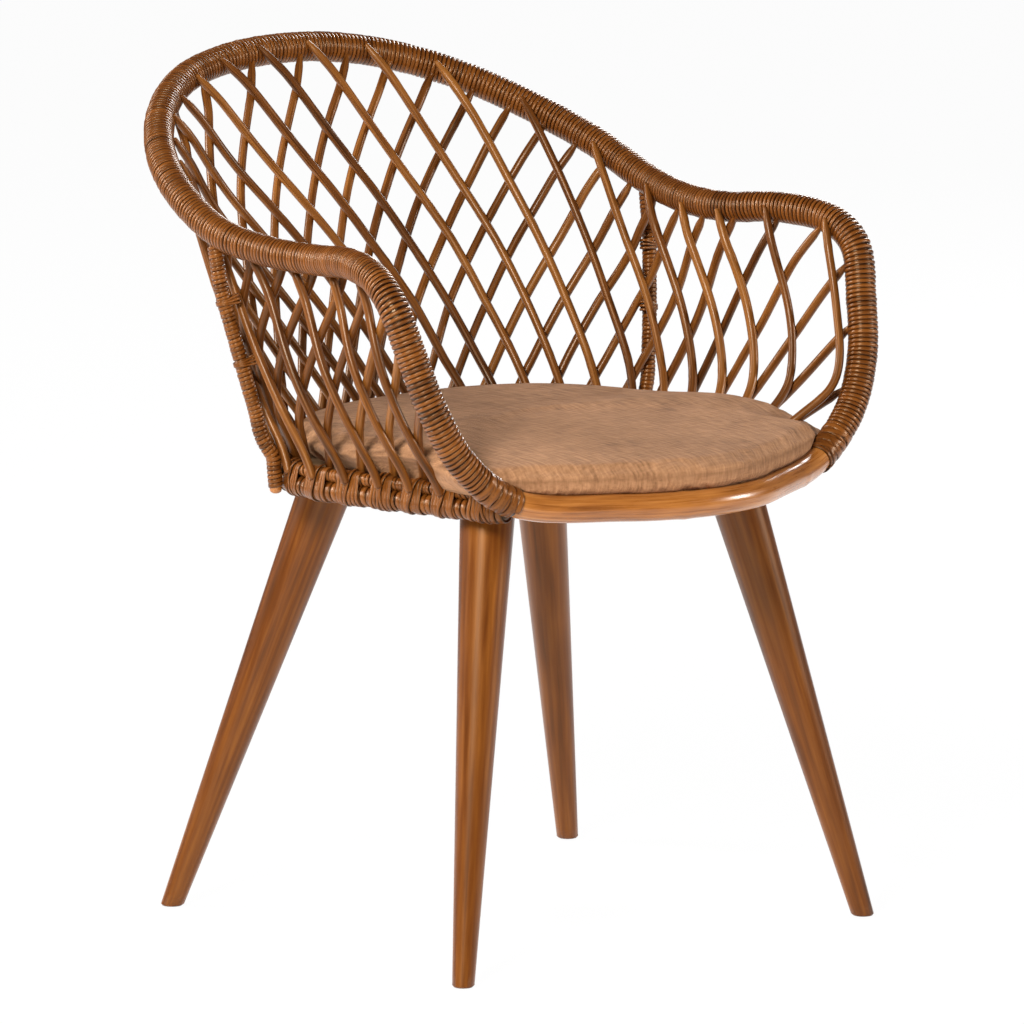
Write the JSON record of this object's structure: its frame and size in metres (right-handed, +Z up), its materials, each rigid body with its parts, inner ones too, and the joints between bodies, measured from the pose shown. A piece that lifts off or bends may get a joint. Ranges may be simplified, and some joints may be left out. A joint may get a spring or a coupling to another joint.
{
  "type": "rattan tub armchair",
  "caption": "Low-backed tub armchair with a bent rim pole bound in cane, a diagonal rattan lattice wall, four splayed tapered wooden legs and a loose linen seat cushion.",
  "frame": {"origin": "on the floor, under the middle of the chair's overall width and depth", "axes": "+Z up, the chair's open front faces -Y, +X to the right seen from the front"},
  "size_m": [0.5694, 0.6822, 0.7798],
  "materials": {
    "rattan_pole": "smooth varnished rattan",
    "cane_binding": "satin stained cane",
    "rattan_rod": "satin stained rattan",
    "turned_wood": "satin stained hardwood",
    "plywood": "raw plywood",
    "linen": "coarse linen weave",
    "steel": "zinc plated"
  },
  "bodies": {
    "root": {"corner_binding_left": "cane_binding", "corner_binding_right": "cane_binding", "inner_rod_10": "rattan_rod", "inner_rod_11": "rattan_rod", "inner_rod_12": "rattan_rod", "inner_rod_13": "rattan_rod", "inner_rod_14": "rattan_rod", "inner_rod_15": "rattan_rod", "inner_rod_16": "rattan_rod", "inner_rod_17": "rattan_rod", "inner_rod_18": "rattan_rod", "inner_rod_19": "rattan_rod", "inner_rod_2": "rattan_rod", "inner_rod_20": "rattan_rod", "inner_rod_21": "rattan_rod", "inner_rod_22": "rattan_rod", "inner_rod_23": "rattan_rod", "inner_rod_24": "rattan_rod", "inner_rod_25": "rattan_rod", "inner_rod_26": "rattan_rod", "inner_rod_27": "rattan_rod", "inner_rod_28": "rattan_rod", "inner_rod_29": "rattan_rod", "inner_rod_3": "rattan_rod", "inner_rod_30": "rattan_rod", "inner_rod_4": "rattan_rod", "inner_rod_5": "rattan_rod", "inner_rod_6": "rattan_rod", "inner_rod_7": "rattan_rod", "inner_rod_8": "rattan_rod", "inner_rod_9": "rattan_rod", "leg_bolt_front_left": "steel", "leg_bolt_front_right": "steel", "leg_bolt_rear_left": "steel", "leg_bolt_rear_right": "steel", "leg_front_left": "turned_wood", "leg_front_right": "turned_wood", "leg_plate_front_left": "steel", "leg_plate_front_right": "steel", "leg_plate_rear_left": "steel", "leg_plate_rear_right": "steel", "leg_rear_left": "turned_wood", "leg_rear_right": "turned_wood", "outer_lattice_left": "rattan_rod", "outer_lattice_rear_left": "rattan_rod", "outer_lattice_rear_right": "rattan_rod", "outer_lattice_right": "rattan_rod", "post_binding_left": "cane_binding", "post_binding_right": "cane_binding", "post_left": "rattan_pole", "post_right": "rattan_pole", "rim_binding": "cane_binding", "rim_pole": "rattan_pole", "seat_board": "plywood", "seat_cushion": "linen", "seat_ring": "rattan_pole", "seat_ring_binding": "cane_binding"}
  },
  "joints": []
}
